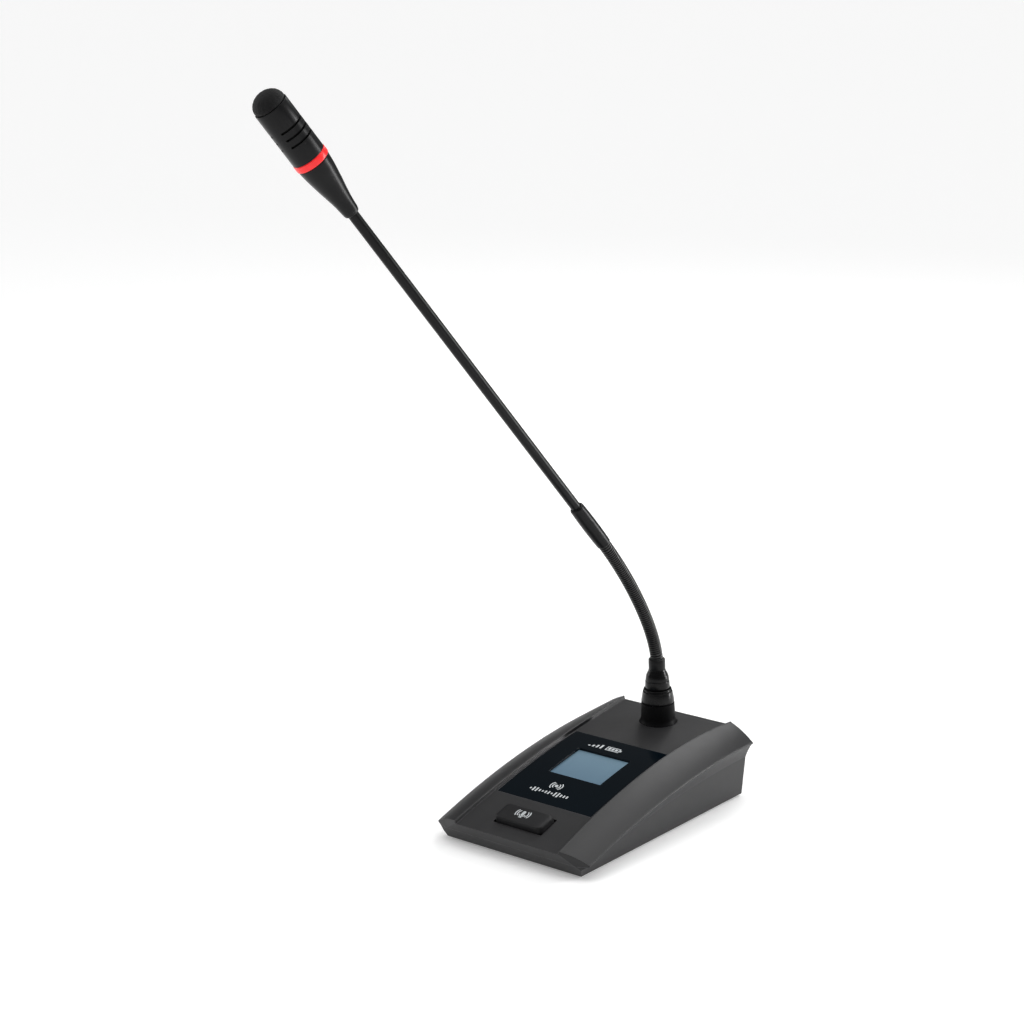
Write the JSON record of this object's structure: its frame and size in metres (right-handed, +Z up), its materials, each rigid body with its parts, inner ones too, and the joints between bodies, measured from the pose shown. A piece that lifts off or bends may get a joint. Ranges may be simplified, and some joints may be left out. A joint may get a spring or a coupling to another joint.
{
  "type": "gooseneck podium microphone",
  "caption": "Desk microphone: wedge base with display and talk button, plug-in flexible neck, straight boom and a foam-tipped head with a lit ring.",
  "frame": {"origin": "on the desk surface, under the middle of the base's plan outline", "axes": "+Z up, +Y towards the back of the base, where the neck plugs in, +X to the speaker's right, the speaker sitting at -Y"},
  "size_m": [0.159, 0.2642, 0.4358],
  "materials": {
    "casing": "fine satin moulded texture",
    "button": "satin moulded",
    "lens_black": "polished near-black",
    "display": "pale grey-blue liquid crystal behind clear film",
    "light_guide": "milky diffuser",
    "board": "green solder mask",
    "inner_plastic": "plain moulded",
    "can_steel": "tinned sheet",
    "ballast_iron": "blackened",
    "cell_wrap": "blue heat-shrink wrap",
    "pad_rubber": "matt non-slip",
    "screw_steel": "blackened zinc",
    "contact_brass": "gold flash",
    "black_metal": "satin black anodised or painted",
    "red_light": "red lit diffuser ring",
    "foam": "open-cell acoustic foam"
  },
  "bodies": {
    "base": {"top_cover": "casing", "bottom_cover": "casing", "display_lens": "lens_black", "display_panel": "display", "display_backlight": "light_guide", "button_board": "board", "button_switch": "inner_plastic", "main_board": "board", "radio_module": "can_steel", "ballast_plate": "ballast_iron", "battery_tray": "inner_plastic", "battery_cells": "cell_wrap", "anti_slip_pad": "pad_rubber", "charge_inlet": "can_steel", "inlet_board": "board", "case_screws": "screw_steel", "board_screws": "screw_steel", "socket_collar": "black_metal", "socket_locknut": "black_metal", "socket_insert": "inner_plastic", "socket_contacts": "contact_brass"},
    "talk_button": {"talk_button": "button"},
    "mic_plug": {"plug_shell": "black_metal", "plug_bell": "black_metal", "plug_insert": "inner_plastic", "plug_pins": "contact_brass", "neck_ferrule": "black_metal"},
    "lock_ring": {"lock_ring": "black_metal"},
    "neck_01": {"neck_link_01": "black_metal"},
    "neck_02": {"neck_link_02": "black_metal"},
    "neck_03": {"neck_link_03": "black_metal"},
    "neck_04": {"neck_link_04": "black_metal"},
    "neck_05": {"neck_link_05": "black_metal"},
    "neck_06": {"neck_link_06": "black_metal"},
    "neck_07": {"neck_link_07": "black_metal"},
    "neck_08": {"neck_link_08": "black_metal"},
    "neck_09": {"neck_link_09": "black_metal"},
    "neck_10": {"neck_link_10": "black_metal"},
    "neck_11": {"neck_link_11": "black_metal"},
    "boom": {"coupling_sleeve": "black_metal", "boom_tube": "black_metal", "head_cone": "black_metal", "light_ring": "red_light", "light_board": "board", "head_barrel": "black_metal", "capsule_holder": "inner_plastic", "capsule": "can_steel", "foam_windscreen": "foam"}
  },
  "joints": [
    {"name": "button_press", "type": "slide", "parent": "base", "child": "talk_button", "axis": [0, 0.2808, -0.9598], "range_m": [0, 0.0008], "stiffness_N_per_m": 600},
    {"name": "plug_pull", "type": "slide", "parent": "base", "child": "mic_plug", "axis": [0, -0.0698, 0.9976], "range_m": [0, 0.025]},
    {"name": "lock_ring_turn", "type": "hinge", "parent": "mic_plug", "child": "lock_ring", "pos_m": [0, 0.06574, 0.0605], "axis": [0, -0.0698, 0.9976], "range_deg": [0, 90]},
    {"name": "neck_sway_1", "type": "hinge", "parent": "mic_plug", "child": "neck_01", "pos_m": [0, 0.06407, 0.08444], "axis": [-0.4022, -0.8906, -0.2122], "range_deg": [-9, 9]},
    {"name": "neck_bend_1", "type": "hinge", "parent": "neck_01", "child": "neck_02", "pos_m": [-0.00049, 0.06243, 0.09226], "axis": [0.9135, -0.4057, -0.0284], "range_deg": [-12, 7]},
    {"name": "neck_sway_2", "type": "hinge", "parent": "neck_02", "child": "neck_03", "pos_m": [-0.00128, 0.06012, 0.09987], "axis": [-0.3873, -0.8466, -0.3651], "range_deg": [-9, 9]},
    {"name": "neck_bend_2", "type": "hinge", "parent": "neck_03", "child": "neck_04", "pos_m": [-0.00227, 0.05736, 0.10732], "axis": [0.9135, -0.4057, -0.0284], "range_deg": [-12, 7]},
    {"name": "neck_sway_3", "type": "hinge", "parent": "neck_04", "child": "neck_05", "pos_m": [-0.00341, 0.05428, 0.11461], "axis": [-0.375, -0.8133, -0.4449], "range_deg": [-9, 9]},
    {"name": "neck_bend_3", "type": "hinge", "parent": "neck_05", "child": "neck_06", "pos_m": [-0.00467, 0.05094, 0.12177], "axis": [0.9135, -0.4057, -0.0284], "range_deg": [-12, 7]},
    {"name": "neck_sway_4", "type": "hinge", "parent": "neck_06", "child": "neck_07", "pos_m": [-0.00603, 0.04739, 0.12881], "axis": [-0.3639, -0.7843, -0.5024], "range_deg": [-9, 9]},
    {"name": "neck_bend_4", "type": "hinge", "parent": "neck_07", "child": "neck_08", "pos_m": [-0.00748, 0.04363, 0.13572], "axis": [0.9135, -0.4057, -0.0284], "range_deg": [-12, 7]},
    {"name": "neck_sway_5", "type": "hinge", "parent": "neck_08", "child": "neck_09", "pos_m": [-0.00902, 0.03969, 0.14251], "axis": [-0.3527, -0.7554, -0.5523], "range_deg": [-9, 9]},
    {"name": "neck_bend_5", "type": "hinge", "parent": "neck_09", "child": "neck_10", "pos_m": [-0.01064, 0.03558, 0.14918], "axis": [0.9135, -0.4057, -0.0284], "range_deg": [-12, 7]},
    {"name": "neck_sway_6", "type": "hinge", "parent": "neck_10", "child": "neck_11", "pos_m": [-0.01235, 0.03129, 0.15571], "axis": [-0.3406, -0.725, -0.5986], "range_deg": [-9, 9]},
    {"name": "neck_bend_6", "type": "hinge", "parent": "neck_11", "child": "boom", "pos_m": [-0.01412, 0.02684, 0.16212], "axis": [0.9135, -0.4057, -0.0284], "range_deg": [-12, 7]}
  ],
  "couplings": [
    {"joint": "neck_sway_2", "follows": "neck_sway_1", "ratio": 1},
    {"joint": "neck_bend_2", "follows": "neck_bend_1", "ratio": 1},
    {"joint": "neck_sway_3", "follows": "neck_sway_1", "ratio": 1},
    {"joint": "neck_bend_3", "follows": "neck_bend_1", "ratio": 1},
    {"joint": "neck_sway_4", "follows": "neck_sway_1", "ratio": 1},
    {"joint": "neck_bend_4", "follows": "neck_bend_1", "ratio": 1},
    {"joint": "neck_sway_5", "follows": "neck_sway_1", "ratio": 1},
    {"joint": "neck_bend_5", "follows": "neck_bend_1", "ratio": 1},
    {"joint": "neck_sway_6", "follows": "neck_sway_1", "ratio": 1},
    {"joint": "neck_bend_6", "follows": "neck_bend_1", "ratio": 1}
  ]
}
